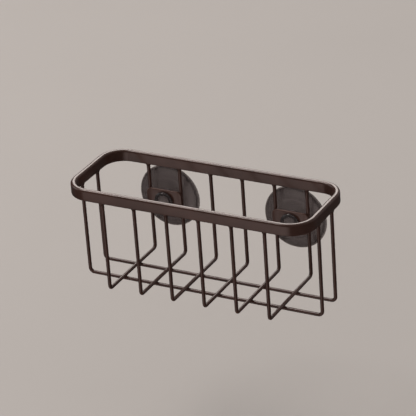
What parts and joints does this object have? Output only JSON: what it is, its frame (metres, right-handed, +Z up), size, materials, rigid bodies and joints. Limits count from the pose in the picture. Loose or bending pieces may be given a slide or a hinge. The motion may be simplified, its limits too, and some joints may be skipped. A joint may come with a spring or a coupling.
{
  "type": "suction sink caddy",
  "caption": "Open wire basket with a flat-bar rim that hangs on a sink wall by suction cups and holds a sponge.",
  "frame": {"origin": "on the wall that the cups hold on to, midway between the two cups, at the height of their axes", "axes": "+Z up, +Y square into the wall, +X to the right of someone facing the basket, whose front faces -Y"},
  "size_m": [0.146, 0.0588, 0.0625],
  "materials": {
    "bronze_coating": "dark oil-rubbed bronze coating on steel, satin",
    "smoky_vinyl": "smoky translucent soft vinyl, smooth"
  },
  "bodies": {
    "basket": {"rim_band": "bronze_coating", "cross_wire_1": "bronze_coating", "cross_wire_2": "bronze_coating", "cross_wire_3": "bronze_coating", "cross_wire_4": "bronze_coating", "cross_wire_5": "bronze_coating", "cross_wire_6": "bronze_coating", "long_wire_front": "bronze_coating", "long_wire_back": "bronze_coating", "cup_bracket_left": "bronze_coating", "cup_bracket_right": "bronze_coating"},
    "left_cup": {"suction_cup_left": "smoky_vinyl"},
    "right_cup": {"suction_cup_right": "smoky_vinyl"}
  },
  "joints": [
    {"name": "left_cup_swivel", "type": "hinge", "parent": "basket", "child": "left_cup", "pos_m": [-0.03892, 0, 0], "axis": [0, 1, 0], "continuous": true},
    {"name": "right_cup_swivel", "type": "hinge", "parent": "basket", "child": "right_cup", "pos_m": [0.03892, 0, 0], "axis": [0, 1, 0], "continuous": true}
  ]
}
